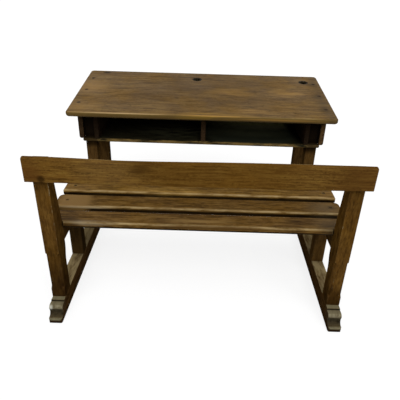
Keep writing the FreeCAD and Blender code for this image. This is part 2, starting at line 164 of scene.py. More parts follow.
def layered(tree: Tree, colour: Source | str, layers: list[Layer]) -> Source:
    """Lay tints over a colour, one after another.

    Args:
        tree: The material's tree.
        colour: The colour underneath, as a socket or as hex digits.
        layers: The share and the tint of each layer.

    Returns:
        The colour that shows.
    """
    for share, tint in layers:
        values, links = {OVER: linear(tint)}, {SHARE: share}
        if isinstance(colour, str):
            values[UNDER] = linear(colour)
        else:
            links[UNDER] = colour
        colour = add(tree, "Mix", values, links, data_type="RGBA").outputs[MIXED]
    return colour


def seen(tree: Tree) -> Source:
    """Find out which rays come from the eye, straight, by gloss or through glass.

    Args:
        tree: The tree of a material or a world.

    Returns:
        One for such rays and zero for the others.
    """
    path = add(tree, "LightPath")
    mask = path.outputs["Is Camera Ray"]
    for kind in ("Is Glossy Ray", "Is Transmission Ray"):
        mask = add(tree, "Math", links={0: mask, 1: path.outputs[kind]}, operation="MAXIMUM")
    return mask


def new_tree(name: str) -> tuple[Material, Tree]:
    """Make an empty node material.

    Args:
        name: The material's name.

    Returns:
        The material and its cleared node tree.
    """
    material = bpy.data.materials.new(name)
    material.use_nodes = True
    material.node_tree.nodes.clear()
    return material, material.node_tree


@dataclass(frozen=True)
class Mark:
    """A stain, scuff or rubbed place round one point, in millimetres.

    The spread is the share of the distance along each axis that counts: 0 draws the mark the whole length
    of that axis, a small share draws it longer that way, and a large one thinner.
    """

    place: Point
    radius_mm: float
    colour: str
    strength: float
    core_share: float
    spread: Point = (1.0, 1.0, 1.0)
    broken: bool = False


@dataclass(frozen=True)
class WoodFinish:
    """Old stained and varnished hardwood, sawn, planed and handled for decades.

    The eye sees long soft streaks and growth rings along the grain, short dark pores, varnish rubbed
    through to paler wood on the edges with a painted highlight there, and dirt with painted shade where
    no hand or cloth reaches.
    """

    name: str
    grain: Grain
    # Tones of the streaks, the pale figure, the worn edges with their painted highlight and the warm patches.
    deep: str
    body: str
    pale: str
    worn: str
    warm: str
    # Colour of the faces that look up, for the dust lying there and for painted light and shade on them,
    # and how much of it shows.
    upward_dust_and_light: str = "000000"
    upward_dust_and_light_share: float = 0.0
    # Dark of the pores, and of the dirt and painted shade in sheltered places.
    soot_and_shade: str = "0b0804"
    # Amber varnish tints what little it mirrors.
    amber: str = "e0a050"
    streak_mm: float = 13.0
    streak_length_mm: float = 300.0
    ring_mm: float = 10.0
    ring_share: float = 0.16
    # How far the rings wander, and the share of the distance along the grain that they follow.
    ring_bend: float = 9.0
    ring_drift: float = 0.07
    pith: Point = (0.0, 0.0, 0.0)
    # Real fibres and pores are finer than a pixel, so they are drawn about ten times as wide.
    fibre_mm: float = 6.0
    fibre_length_mm: float = 60.0
    pore_mm: float = 5.0
    pore_length_mm: float = 18.0
    fibre_share: float = 1.0
    blotch_mm: float = 15.0
    blotch_length_mm: float = 75.0
    blotch_share: float = 1.0
    patch_mm: float = 170.0
    noise_roughness: float = 0.6
    # Reach and strength of the paler rubbed edges, which also carry a painted highlight.
    wear_mm: float = 6.0
    wear: float = 0.6
    # Bare pale wood where the arris is chipped, and how much of it shows.
    chip: str = "c6b690"
    chips: float = 0.5
    # Reach and strength of the darkening in sheltered places: dirt and painted shade.
    shade_and_dirt_mm: float = 130.0
    shade_and_dirt: float = 0.7
    # Roughness, and how much glossier and duller patches of the varnish are.
    roughness: float = 0.5
    glossier: float = 0.12
    duller: float = 0.14
    specular: float = 0.0
    # Softened arrises, and the open grain, about a quarter of a millimetre deep.
    soft_mm: float = 1.6
    relief: float = 0.55
    relief_mm: float = 0.5
    samples: int = 8
    soft_samples: int = 6
    marks: tuple[Mark, ...] = ()
    # Share of the marks that reaches the faces that look sideways.
    marks_on_sides: float = 1.0

    def by_grain(self, across: float, along: float) -> list[float]:
        """Values by axis: one across the grain and another along it."""
        return [along if axis == self.grain.value else across for axis in range(3)]

    def figure(self, tree: Tree, place: Socket) -> dict[str, Source]:
        """Add the patterns of the wood.

        Args:
            tree: The material's tree.
            place: The object coordinates.

        Returns:
            Grey patterns by name: streak, blotch, fibre, pore, patch and ring.
        """
        found = {}
        # Size across and along the grain, and detail.
        grains = {"streak": (self.streak_mm, self.streak_length_mm, 4.0),
                  "blotch": (self.blotch_mm, self.blotch_length_mm, 5.0),
                  "fibre": (self.fibre_mm, self.fibre_length_mm, 3.0),
                  "pore": (self.pore_mm, self.pore_length_mm, 1.0)}
        for name, (across, along, detail) in grains.items():
            scale = self.by_grain(1 / (across * MM), 1 / (along * MM))
            stretched = add(tree, "Mapping", {"Scale": scale}, {"Vector": place})
            noise = {"Scale": 1.0, "Detail": detail, "Roughness": self.noise_roughness}
            found[name] = add(tree, "TexNoise", noise, {"Vector": stretched})
        cloud = {"Scale": 1 / (self.patch_mm * MM), "Detail": 4.0, "Roughness": self.noise_roughness}
        found["patch"] = add(tree, "TexNoise", cloud, {"Vector": place})
        # Rings round the pith: one turn of the wave in ring_mm, bent slowly along the grain.
        slow = self.by_grain(1.0, self.ring_drift)
        shift = [-pith_mm * MM for pith_mm in self.pith]
        centred = add(tree, "Mapping", {"Location": shift, "Scale": slow}, {"Vector": place})
        rings = {"Scale": math.pi / (10 * self.ring_mm * MM), "Distortion": self.ring_bend, "Detail": 3.0,
                 "Detail Scale": 0.28, "Detail Roughness": 0.55}
        found["ring"] = add(tree, "TexWave", rings, {"Vector": centred}, wave_type="RINGS",
                            rings_direction="XYZ"[self.grain.value])
        return found

    def shade(self, tree: Tree, figure: dict[str, Source]) -> Source:
        """Mix the clean colour of the wood from its patterns.

        Args:
            tree: The material's tree.
            figure: The grey patterns.

        Returns:
            The colour before wear and dirt.
        """
        streak = add(tree, "MapRange", span(Fade.STREAK), {"Value": figure["streak"]}, **SMOOTH)
        layers = [(streak, self.body)]
        # Pattern, where its tint starts and where it is fullest, how full that is, and the tint.
        tints = [
            ("ring", 0.40, 1.0, self.ring_share, self.pale), ("patch", 0.46, 0.62, 0.6, self.warm),
            ("blotch", 0.50, 0.68, 0.55 * self.blotch_share, self.pale),
            ("blotch", 0.48, 0.30, 0.50 * self.blotch_share, self.deep),
            ("fibre", 0.47, 0.34, 0.60 * self.fibre_share, self.pale),
            ("fibre", 0.51, 0.66, 0.65 * self.fibre_share, self.deep),
            ("pore", 0.42, 0.28, 0.45 * self.fibre_share, self.pale),
            ("pore", 0.60, 0.72, 0.40 * self.fibre_share, self.soot_and_shade)]
        for name, start, full, amount, tint in tints:
            mask = add(tree, "MapRange", {"From Min": start, "From Max": full, "To Max": amount},
                       {"Value": figure[name]}, **SMOOTH)
            layers.append((mask, tint))
        return layered(tree, self.deep, layers)

    def spots(self, tree: Tree, place: Socket, ragged: Source, taken: Source) -> list[Layer]:
        """Add the single marks.

        Args:
            tree: The material's tree.
            place: The object coordinates.
            ragged: The pattern that breaks up broken marks.
            taken: How well each face takes marks.

        Returns:
            The share and the tint of each mark.
        """
        found = []
        for mark in self.marks:
            shift = [-place_mm * MM * share for place_mm, share in zip(mark.place, mark.spread)]
            centred = add(tree, "Mapping", {"Location": shift, "Scale": mark.spread}, {"Vector": place})
            away = add(tree, "VectorMath", links={0: centred}, operation="LENGTH")
            reach = mark.radius_mm * MM
            limits = {"From Min": reach, "From Max": mark.core_share * reach, "To Max": mark.strength}
            spot = add(tree, "MapRange", limits, {"Value": away.outputs["Value"]}, **SMOOTH)
            for wanted, mask in ((mark.broken, ragged), (self.marks_on_sides < 1, taken)):
                if wanted:
                    spot = add(tree, "Math", links={0: spot, 1: mask}, operation="MULTIPLY")
            found.append((spot, mark.colour))
        return found

    def age(self, tree: Tree, colour: Source, figure: dict[str, Source], place: Socket) -> Source:
        """Lay rubbed edges with painted highlights, dust and painted light on upward faces, sheltered dirt
        with painted shade and single marks over the colour.

        Args:
            tree: The material's tree.
            colour: The clean colour.
            figure: The grey patterns.
            place: The object coordinates.

        Returns:
            The finished colour.
        """
        facing = add(tree, "NewGeometry").outputs["Normal"]
        outward = add(tree, "SeparateXYZ", links={0: facing})
        # Edges rubbed paler, with a painted highlight on them.
        rounded = add(tree, "Bevel", {"Radius": self.wear_mm * MM}, samples=self.samples)
        flat = add(tree, "VectorMath", links={0: rounded, 1: facing}, operation="DOT_PRODUCT")
        edge = add(tree, "MapRange", span(Fade.EDGE, self.wear), {"Value": flat.outputs["Value"]}, **SMOOTH)
        broken = add(tree, "MapRange", span(Fade.RUBBED), {"Value": figure["patch"]})
        rubbed = add(tree, "Math", links={0: edge, 1: broken}, operation="MULTIPLY")
        flake = add(tree, "MapRange", span(Fade.CHIPPED, self.chips / self.wear), {"Value": figure["pore"]})
        chipped = add(tree, "Math", links={0: rubbed, 1: flake}, operation="MULTIPLY")
        layers = [(rubbed, self.worn), (chipped, self.chip)]
        # Faces that look up take dust, and painted light and shade for how light falls on them.
        if self.upward_dust_and_light_share:
            tread = add(tree, "MapRange", span(Fade.TREAD, self.upward_dust_and_light_share), {"Value": outward.outputs["Z"]},
                        **SMOOTH)
            uneven = add(tree, "MapRange", span(Fade.LYING), {"Value": figure["blotch"]})
            dust_and_light_lying = add(tree, "Math", links={0: tread, 1: uneven}, operation="MULTIPLY")
            layers.append((dust_and_light_lying, self.upward_dust_and_light))
        # Sheltered places darken: dirt and painted shade.
        open_sky = add(tree, "AmbientOcclusion", {"Distance": self.shade_and_dirt_mm * MM}, samples=self.samples)
        dirt = add(tree, "MapRange", span(Fade.SHELTERED, self.shade_and_dirt), {"Value": open_sky.outputs["AO"]},
                   **SMOOTH)
        layers.append((dirt, self.soot_and_shade))
        ragged = add(tree, "MapRange", span(Fade.RAGGED), {"Value": figure["blotch"]})
        sideways = add(tree, "Math", links={0: outward.outputs["X"]}, operation="ABSOLUTE")
        taken = add(tree, "MapRange", span(Fade.SIDEWAYS, self.marks_on_sides, 1.0), {"Value": sideways})
        layers += self.spots(tree, place, ragged, taken)
        return layered(tree, colour, layers)

    def material(self) -> Material:
        """Build the wood.

        Returns:
            The material.
        """
        material, tree = new_tree(self.name)
        place = add(tree, "TexCoord").outputs["Object"]
        figure = self.figure(tree, place)
        colour = self.age(tree, self.shade(tree, figure), figure, place)
        sheen = span(Fade.SHEEN, self.roughness + self.duller, self.roughness - self.glossier)
        gloss = add(tree, "MapRange", sheen, {"Value": figure["patch"]})
        relief = add(tree, "Math", links={0: figure["fibre"], 1: figure["pore"]}, operation="SUBTRACT")
        soft = add(tree, "Bevel", {"Radius": self.soft_mm * MM}, samples=self.soft_samples)
        bump = add(tree, "Bump", {"Strength": self.relief, "Distance": self.relief_mm * MM},
                   {"Height": relief, "Normal": soft})
        varnish = {"Specular IOR Level": self.specular, "Specular Tint": linear(self.amber)}
        shader = add(tree, "BsdfPrincipled", varnish,
                     {"Base Color": colour, "Roughness": gloss, "Normal": bump})
        add(tree, "OutputMaterial", links={"Surface": shader})
        return material


@dataclass(frozen=True)
class IronFinish:
    """Wrought iron nails and screws, rubbed bright in places and rusty round the rim."""

    name: str
    bright: str
    rust: str
    # Old varnish over the fastening at the right end hides the metal there.
    varnish: str = "6a4b20"
    varnished: float = 0.0
    pit_mm: float = 1.5
    pit_strength: float = 0.5
    pit_depth_mm: float = 0.2
    # Roughness of the bright iron and of the rust, and how metallic the bright iron looks.
    bright_roughness: float = 0.55
    rust_roughness: float = 0.85
    metallic: float = 0.3
    specular: float = 0.1

    def material(self) -> Material:
        """Build the iron.

        Returns:
            The material.
        """
        material, tree = new_tree(self.name)
        place = add(tree, "TexCoord").outputs["Object"]
        pits = add(tree, "TexNoise", {"Scale": 1 / (self.pit_mm * MM), "Detail": 4.0}, {"Vector": place})
        rust = add(tree, "MapRange", span(Fade.RUST), {"Value": pits})
        across = add(tree, "SeparateXYZ", links={0: place})
        right = add(tree, "MapRange", span(Fade.VARNISHED, self.varnished), {"Value": across.outputs["X"]})
        colour = layered(tree, self.bright, [(rust, self.rust), (right, self.varnish)])
        dull = add(tree, "Math", links={0: rust, 1: right}, operation="MAXIMUM")
        sheen = span(Fade.WHOLE, self.rust_roughness, self.bright_roughness)
        gloss = add(tree, "MapRange", sheen, {"Value": dull})
        metal = add(tree, "MapRange", span(Fade.WHOLE, 0.0, self.metallic), {"Value": dull})
        bump = add(tree, "Bump", {"Strength": self.pit_strength, "Distance": self.pit_depth_mm * MM},
                   {"Height": pits})
        shader = add(tree, "BsdfPrincipled", {"Specular IOR Level": self.specular},
                     {"Base Color": colour, "Metallic": metal, "Roughness": gloss, "Normal": bump})
        add(tree, "OutputMaterial", links={"Surface": shader})
        return material


@dataclass(frozen=True)
class GlazeFinish:
    """Dark glazed stoneware, thrown and fired, with ink dried on it in runs and spots."""

    name: str
    glaze: str
    ink: str
    spot_mm: float
    roughness: float
    inky_roughness: float = 0.7
    # Ink wiped off on the rim has blackened most of it.
    rim_share: float = 0.95
    sheen: str = "c8b090"
    specular: float = 0.12
    run_strength: float = 0.3
    run_depth_mm: float = 0.3

    def material(self) -> Material:
        """Build the glaze.

        Returns:
            The material.
        """
        material, tree = new_tree(self.name)
        place = add(tree, "TexCoord").outputs["Object"]
        spots = add(tree, "TexNoise", {"Scale": 1 / (self.spot_mm * MM), "Detail": 5.0}, {"Vector": place})
        spotted = add(tree, "MapRange", span(Fade.SPOTTED), {"Value": spots})
        outward = add(tree, "SeparateXYZ", links={0: add(tree, "NewGeometry").outputs["Normal"]})
        rim = add(tree, "MapRange", span(Fade.RIM, self.rim_share), {"Value": outward.outputs["Z"]})
        inky = add(tree, "Math", links={0: spotted, 1: rim}, operation="MAXIMUM")
        gloss = add(tree, "MapRange", span(Fade.WHOLE, self.inky_roughness, self.roughness), {"Value": inky})
        bump = add(tree, "Bump", {"Strength": self.run_strength, "Distance": self.run_depth_mm * MM},
                   {"Height": spots})
        colour = layered(tree, self.glaze, [(inky, self.ink)])
        shine = {"Specular IOR Level": self.specular, "Specular Tint": linear(self.sheen)}
        shader = add(tree, "BsdfPrincipled", shine,
                     {"Base Color": colour, "Roughness": gloss, "Normal": bump})
        add(tree, "OutputMaterial", links={"Surface": shader})
        return material


def put_on(finish: WoodFinish | IronFinish | GlazeFinish, pieces: list[str] | list[Piece]) -> None:
    """Put a finish on pieces.

    Args:
        finish: The finish, one material for all of them.
        pieces: New pieces, or the names of nodes of the frame.
    """
    material = finish.material()
    for piece in pieces:
        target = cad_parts[piece] if isinstance(piece, str) else piece
        target.data.materials.clear()
        target.data.materials.append(material)
        log.info("dressed %s in %s", target.name, material.name)


def pair(stem: str) -> list[str]:
    """Names of the left and the right node of a kind."""
    return [stem + side for side in SIDES]


def box_mm(node: str) -> tuple[np.ndarray, np.ndarray]:
    """Low and high corner of a node's box in millimetres."""
    low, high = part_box(node)
    return np.array(low) / MM, np.array(high) / MM


def middle_mm(node: str) -> np.ndarray:
    """Middle of a node's box in millimetres."""
    return sum(box_mm(node)) / 2


def ring_faces(count: int, width: int) -> np.ndarray:
    """Number the faces between rows of corners that each close to a ring.

    Args:
        count: How many rows there are.
        width: Corners in a row.

    Returns:
        Four corners a face: two in one row and the two beside them in the next.
    """
    row, column = np.meshgrid(np.arange(count - 1) * width, np.arange(width), indexing="ij")
    after = (column + 1) % width
    there = row + width
    return np.stack((row + column, row + after, there + after, there + column), -1).reshape(-1, 4)


def new_piece(name: str, points_mm: np.ndarray, faces: list[list[int]]) -> Piece:
    """Make a smooth mesh piece at the origin.

    Args:
        name: The piece's name.
        points_mm: Corners in millimetres, one a row.
        faces: Corner numbers of each face, counter-clockwise seen from outside.

    Returns:
        The new piece.
    """
    mesh = bpy.data.meshes.new(name)
    mesh.from_pydata((points_mm * MM).tolist(), [], faces)
    mesh.polygons.foreach_set("use_smooth", np.ones(len(mesh.polygons), bool))
    piece = bpy.data.objects.new(name, mesh)
    bpy.context.scene.collection.objects.link(piece)
    log.info("built %s", name)
    return piece


@dataclass
class WritingDesk:
    """The sloped top, the open book box under it and the nails that hold the top."""

    nail_count: int = 3
    ink_ring_mm: float = 30.0
    nail_ring_mm: float = 12.0
    edge_band_mm: float = 20.0
    # Places along X and Y where sleeves have rubbed the varnish golden, and where it stayed dark.
    golden_places: Places = ((144.0, 315.0), (406.0, 324.0), (210.0, 120.0))
    dark_places: Places = ((-440.0, 525.0), (-70.0, 350.0), (240.0, 430.0), (-250.0, 250.0))
    # The rings of the box's boards run round a pith below its floor.
    box_pith: Point = (0.0, 300.0, 380.0)

    def on_slope(self, x: float, y: float, node: str = "desk_top") -> Point:
        """Find the point of a sloped upper side over a place on the floor.

        Args:
            x: Place along the desk in millimetres.
            y: Place away from the pupil.
            node: The node whose far edge the slope ends at.

        Returns:
            The point in millimetres.
        """
        high = box_mm(node)[1]
        return x, y, high[2] - (high[1] - y) * math.tan(TOP_SLOPE)

    def nail_places(self) -> list[Point]:
        """Work out where the nail heads lie, evenly along each end of the top.

        Returns:
            Points in millimetres.
        """
        found = []
        for node in pair("top_nails_"):
            (_, first, _), (_, last, _) = box_mm(node)
            found += [self.on_slope(middle_mm(node)[0], y, node)
                      for y in np.linspace(first, last, self.nail_count)]
        return found

    def surface_marks(self) -> list[Mark]:
        """Marks of the varnish: golden and dark places, and broad tones.

        Returns:
            The marks.
        """
        smeared = (0.4, 1, 2.5)
        tones = ((self.golden_places, 65, "8f6d38", 0.75), (self.dark_places, 70, "44321e", 0.7))
        found = [Mark(self.on_slope(*place), *tone, 0, smeared, True)
                 for places, *tone in tones for place in places]
        return found + [
            Mark(self.on_slope(0, 340), 420, "3c2908", 0.24, 0.3, (0.9, 1, 1)),
            Mark(self.on_slope(-530, 110), 90, "957548", 0.3, 0.1, (0.6, 1, 1)),
            Mark(self.on_slope(-535, 340), 125, "957548", 0.47, 0.1, (0.9, 1, 1))]

    def edge_marks(self) -> list[Mark]:
        """Marks of the edges: the rubbed near arris with painted highlights, the near face under it and the
        dark far edge.

        Returns:
            The marks.
        """
        low, high = box_mm("desk_top")
        near, arris, face = low[1], low[2] + 23, low[2] + 9
        return [
            Mark((15, near + 21, arris), 34, "886830", 0.65, 0.2, (0.13, 1, 1), True),
            Mark((0, near, face), 17, "624f2b", 0.8, 0.5, ALONG_X),
            Mark((40, near, face + 2), 13, "7d6228", 0.7, 0.3, (0.06, 1, 1), True),
            # Pale and golden lines along the near arris and face: rubbed varnish and painted highlights.
            Mark((390, near + 3, arris), 5, "b39a66", 0.6, 0.3, (0.03, 1, 1), True),
            Mark((320, near, face + 3), 5, "9a7438", 0.6, 0.3, (0.02, 1, 1)),
            Mark((0, near + 3, arris), 5, "9c8250", 0.6, 0.2, ALONG_X, True),
            Mark((-350, near + 3, arris), 6, "c6a878", 0.75, 0.3, (0.02, 1, 1)),
            Mark((60, near + 3, arris), 7, "b08846", 0.65, 0.3, (0.03, 1, 1)),
            Mark((0, high[1] - 1, high[2] - 4), self.edge_band_mm, "241b10", 0.6, 0.1, ALONG_X, True)]

    def stains(self) -> list[Mark]:
        """Marks of use: ink round the wells, dirt and rust round the nails, grime at the right end.

        Returns:
            The marks.
        """
        found = []
        for node in pair("inkwell_"):
            x, y, _ = middle_mm(node)
            found.append(Mark((x, y, box_mm(node)[1][2]), self.ink_ring_mm, "2a1f12", 0.5, 0.6))
        nails = self.nail_places()
        found += [Mark((x - 8, y - 6, z), 3 * self.nail_ring_mm, "30240f", 0.55, 0.1, (0.9, 0.8, 1))
                  for x, y, z in nails if x > 0]
        found += [Mark(self.on_slope(528, 300), 45, "4a3b26", 0.5, 0.2, (1, 0.12, 1), True),
                  Mark(self.on_slope(575, 300), 60, "40382c", 0.3, 0.5, LEVEL_X),
                  Mark(self.on_slope(-488, 531), 18, "1d150b", 0.9, 0.3, (0.7, 1, 1))]
        return found + [Mark(place, self.nail_ring_mm, "1a1008", 0.8, 0.4) for place in nails]

    def dress_top(self) -> None:
        """Give the top its worn varnish and the nails their rust."""
        _, y, z = middle_mm("desk_top")
        top = WoodFinish(
            "varnished_oak_top", Grain.LENGTHWISE, "3f2f1c", "644c2b", "7c6339", "967a4c", "705429",
            pith=(0, y - 60, z - 90), streak_mm=18, streak_length_mm=260, ring_mm=16, ring_share=0.24,
            blotch_mm=25, blotch_length_mm=140, fibre_mm=11, fibre_length_mm=75, pore_mm=10, fibre_share=0.75,
            specular=0.03, shade_and_dirt=0.35, marks=(*self.surface_marks(), *self.edge_marks(), *self.stains()))
        put_on(top, ["desk_top"])
        nails = IronFinish("nail_iron", bright="3a3024", rust="150d06", varnish="3e2f1a", varnished=0.9)
        put_on(nails, pair("top_nails_"))

    def dress_boards(self) -> None:
        """Give the upright boards of the box their dark stain, with rubbed and grimy near edges."""
        # Node, radius, colour, strength, core and whether the mark is broken.
        edges = [("end_board_right", 12, "6c5230", 0.7, 0.3, True),
                 *((node, 16, "1d1610", 0.75, 0.5, False) for node in pair("box_side_"))]
        marks = []
        for node, radius, colour, strength, core, broken in edges:
            place = (middle_mm(node)[0], box_mm(node)[0][1], 0)
            marks.append(Mark(place, radius, colour, strength, core, ALONG_Z, broken))
        boards = WoodFinish(
            "stained_box_boards", Grain.FORE_AND_AFT, "271d13", "3f2f20", "4b3a27", "554029", "42311d",
            shade_and_dirt=0.55, shade_and_dirt_mm=200, chips=0.2, pith=self.box_pith, marks=tuple(marks))
        put_on(boards, [*pair("end_board_"), *pair("box_side_"), "box_divider"])

    def dress_inside(self) -> None:
        """Give the back and the floor of the box their stain and dust, with painted light and shade for the
        dim inside.
        """
        # Dust gives the back a greenish grey. Its tones, lighter than the other boards', the pale tint of its
        # near face and the broad pale place high in the right compartment are painted light.
        low, high = box_mm("box_back")
        dust_and_painted_light = (Mark((0, low[1], 0), 6, "867751", 0.9, 0.6, LEVEL_Y),
                 Mark((270, low[1], high[2] - 50), 260, "b9b78e", 0.9, 0.5, (1, 40, 1), True))
        back = WoodFinish(
            "stained_box_back_with_painted_light", Grain.LENGTHWISE, "38270f", "573e1e", "6a4f29", "6d5330", "5e431d",
            streak_mm=20, blotch_mm=24, blotch_length_mm=130, fibre_mm=8, fibre_length_mm=80, fibre_share=0.7,
            shade_and_dirt=0.3, shade_and_dirt_mm=60, pith=self.box_pith, marks=dust_and_painted_light)
        put_on(back, ["box_back"])
        # Dust lies on the floor, whose dark tones are partly painted shade, with painted light at its back
        # and painted shadow in its back right corner; hands have rubbed its front edge golden.
        low, high = box_mm("book_shelf")
        (_, depth, height), near, far, top = middle_mm("book_shelf"), low[1], high[1], high[2]
        dust_light_and_shade = (
            Mark((230, depth, top), 200, "2f3227", 0.9, 0.8, (0.8, 0.9, 15)),
            # Painted light: pale places at the back of both compartments.
            Mark((240, far - 135, top), 150, "65684f", 0.55, 0.3, (0.55, 1.3, 15)),
            Mark((290, far - 5, top), 230, "d4d6ac", 0.95, 0, (0.6, 1.6, 15)),
            Mark((-120, far - 170, top), 130, "54543f", 0.7, 0.2, (0.5, 1, 15), True),
            # Painted shadow in the back right corner.
            Mark((478, far, top), 75, "080705", 0.95, 0.6, (1, 0.2, 15)),
            # The front edge: rubbed golden with a painted highlight, and painted shade at both ends.
            Mark((0, near, height), 13, "826a3c", 0.9, 0.6, ALONG_X, True),
            Mark((low[0], near, height), 80, "2a2013", 0.85, 0.7),
            Mark((high[0], near, height), 75, "33281a", 0.8, 0.5),
            Mark((0, far, height), 13, "4a351a", 1, 0.7, ALONG_X))
        shelf = WoodFinish(
            "stained_book_shelf_with_painted_light_and_shade", Grain.LENGTHWISE, "16150f", "28261a", "343020", "5f4c30", "2b2818",
            shade_and_dirt=0.3, shade_and_dirt_mm=160, pith=self.box_pith, marks=dust_light_and_shade)
        put_on(shelf, ["book_shelf"])

    def dress(self) -> None:
        """Give the top, the box and the nails their finishes."""
        self.dress_top()
        self.dress_boards()
        self.dress_inside()


@dataclass
class Bench:
    """The slatted seat and the back rail with their screws."""

    screw_head_mm: float = 11.0
    slat_ring_mm: float = 17.0
    rail_ring_mm: float = 18.0
    edge_band_mm: float = 6.0
    # The rail's upper edge: the reach of its rounding, and the hollow that backs and hands have worn.
    crest_mm: float = 5.0
    hollow_mm: float = 6.2
    hollow_place_mm: float = -225.0
    hollow_widths_mm: tuple[float, float] = (180.0, 290.0)
    # Rounding of its other arrises, and how far the lower edge climbs to the right end.
    arris_mm: float = 2.0
    climb_mm: float = 4.2
    # The face lies this far behind the heads of the screws.
    sink_mm: float = 0.4
    stations: int = 61
    corner_points: int = 5
    crest_points: int = 17

    def rail_surface(self) -> np.ndarray:
        """Corners of the worn rail, row by row along it.

        Each row is the outline of the board: two quarter circles below, half an ellipse above and straight
        sides between them. The crest follows a lopsided bell curve, the hollow; the lower edge climbs with
        the square of the distance to the middle; and the rows shrink along a quarter circle at both ends.

        Returns:
            Points in millimetres by row, place in the row and axis.
        """
        low, high = box_mm("back_rail")
        turn = np.linspace(0.0, math.pi / 2, self.corner_points)
        over = np.linspace(0.0, math.pi, self.crest_points)
        sine, cosine = self.arris_mm * (1 - np.sin(turn)), self.arris_mm * (1 - np.cos(turn))
        core = np.linspace(low[0] + self.arris_mm, high[0] - self.arris_mm, self.stations)
        reach = high[0] - sine[1:]
        along = np.concatenate((-reach[::-1], core, reach))[:, None]
        inset = np.concatenate((cosine[:0:-1], np.zeros(self.stations), cosine[1:]))[:, None]
        aside = along - self.hollow_place_mm
        hollow = self.hollow_mm * np.exp(-(aside / np.where(aside < 0, *self.hollow_widths_mm)) ** 2)
        climb = self.climb_mm * (np.maximum(along, 0.0) / high[0]) ** 2
        near, far = low[1] + self.sink_mm + inset, high[1] - inset
        bottom, crest = low[2] + climb + inset, high[2] - hollow - inset
        shoulder = crest - self.crest_mm
        centre, half = (near + far) / 2, (far - near) / 2
        # One row of points a millimetre inside each end of the straight sides.
        foot, neck = bottom + self.arris_mm + 1, shoulder - 1
        outline = ((near + cosine, bottom + sine), (far - sine, bottom + cosine), (far, foot), (far, neck),
                   (centre + half * np.cos(over), shoulder + self.crest_mm * np.sin(over)),
                   (near, neck), (near, foot))
        y, z = (np.concatenate(parts, axis=1) for parts in zip(*outline))
        return np.stack((np.broadcast_to(along, y.shape), y, z), -1)

    def build(self) -> Piece:
        """Make the worn rail in place of the plain board.

        Returns:
            The piece, riding on the frame.
        """
        points = self.rail_surface()
        count, width = points.shape[:2]
        ends = [list(range(width))[::-1], list(range((count - 1) * width, count * width))]
        piece = new_piece("worn_back_rail", points.reshape(-1, 3), ring_faces(count, width).tolist() + ends)
        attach(piece, "frame")
        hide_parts("back_rail")
        return piece

    def screw_ends(self, node: str) -> tuple[float, float]:
        """Places along X of the screws at the left and the right end, in millimetres."""
        low, high = box_mm(node)
        return low[0] + self.screw_head_mm / 2, high[0] - self.screw_head_mm / 2

    def slat_marks(self, node: str) -> tuple[Mark, ...]:
        """Marks of one slat: painted shade and highlights at its near edge, wear, rings round the screws and
        dirt.

        Args:
            node: The slat's node.

        Returns:
            The marks.
        """
        low, high = box_mm(node)
        near, top = low[1], high[2]
        # The rear slat has no neighbour to shade its near face.
        shade_mm = 6 if node == "seat_slat_rear" else 14
        ring_mm = self.slat_ring_mm if node == "seat_slat_middle" else 0.6 * self.slat_ring_mm
        # Painted shade under the near edge, and a rubbed band along that edge with a painted highlight.
        marks = [Mark((0, near, low[2] + 2), shade_mm, "0d0904", 0.9, 0.6, ALONG_X),
                 Mark((0, near + 5, top - 1), 1.4 * self.edge_band_mm, "8d7142", 0.35, 0.3, ALONG_X),
                 Mark((0, near + 4, top - 2), self.edge_band_mm, "ab9468", 0.85, 0.3, ALONG_X, True)]
        marks += [Mark((x, middle_mm(node)[1], top), ring_mm, "1c1208", 0.75, 0.3)
                  for x in self.screw_ends("slat_screws")]
        greyed = Mark((480, near + 40, top), 75, "62543e", 0.4, 0.2, (0.8, 1, 1))
        if node == "seat_slat_rear":
            # Painted highlights on the top and at the left end, and painted shade low on the near edge.
            marks += [Mark((5, near + 33, top), 17, "957645", 0.55, 0.2, (0.1, 1, 1)),
                      Mark((60, near + 1, top - 6), 11, "533b1d", 0.75, 0.4, (0.04, 1, 1)),
                      Mark((-385, near + 6, top), 19, "8a7d66", 0.75, 0.2, (0.17, 1, 1), True)]
            # Dark patches on the top; those at both ends, beside the posts, are painted shade.
            marks += [Mark((x, near + y, top), radius, "2d1e0e", strength, 0.1, (0.5, 1, 1), True)
                      for x, y, radius, strength in ((-465, 20, 36, 0.8), (475, 22, 36, 0.8),
                                                     (367, 50, 40, 0.9))]
            marks.append(greyed)
        elif node == "seat_slat_middle":
            # The left end is worn paler, and its near edge takes a painted highlight.
            marks += [Mark((-475, near + 37, top), 80, "846639", 0.8, 0.5, (1, 0.6, 1)),
                      Mark((-430, near + 1, top - 5), 7, "a89470", 0.7, 0.3, (0.05, 1, 1)), greyed]
        else:
            # A painted golden highlight towards the near edge.
            marks.append(Mark((-130, near + 18, top), 30, "a88444", 0.7, 0.1, (0.13, 1, 1), True))
        return tuple(marks)

    def rail_marks(self) -> tuple[Mark, ...]:
        """Marks of the back rail: rubbed far arris with a painted highlight, broad tones, a knot, dark ends
        and screw rings.

        Returns:
            The marks.
        """
        low, high = box_mm("back_rail")
        face = low[1]
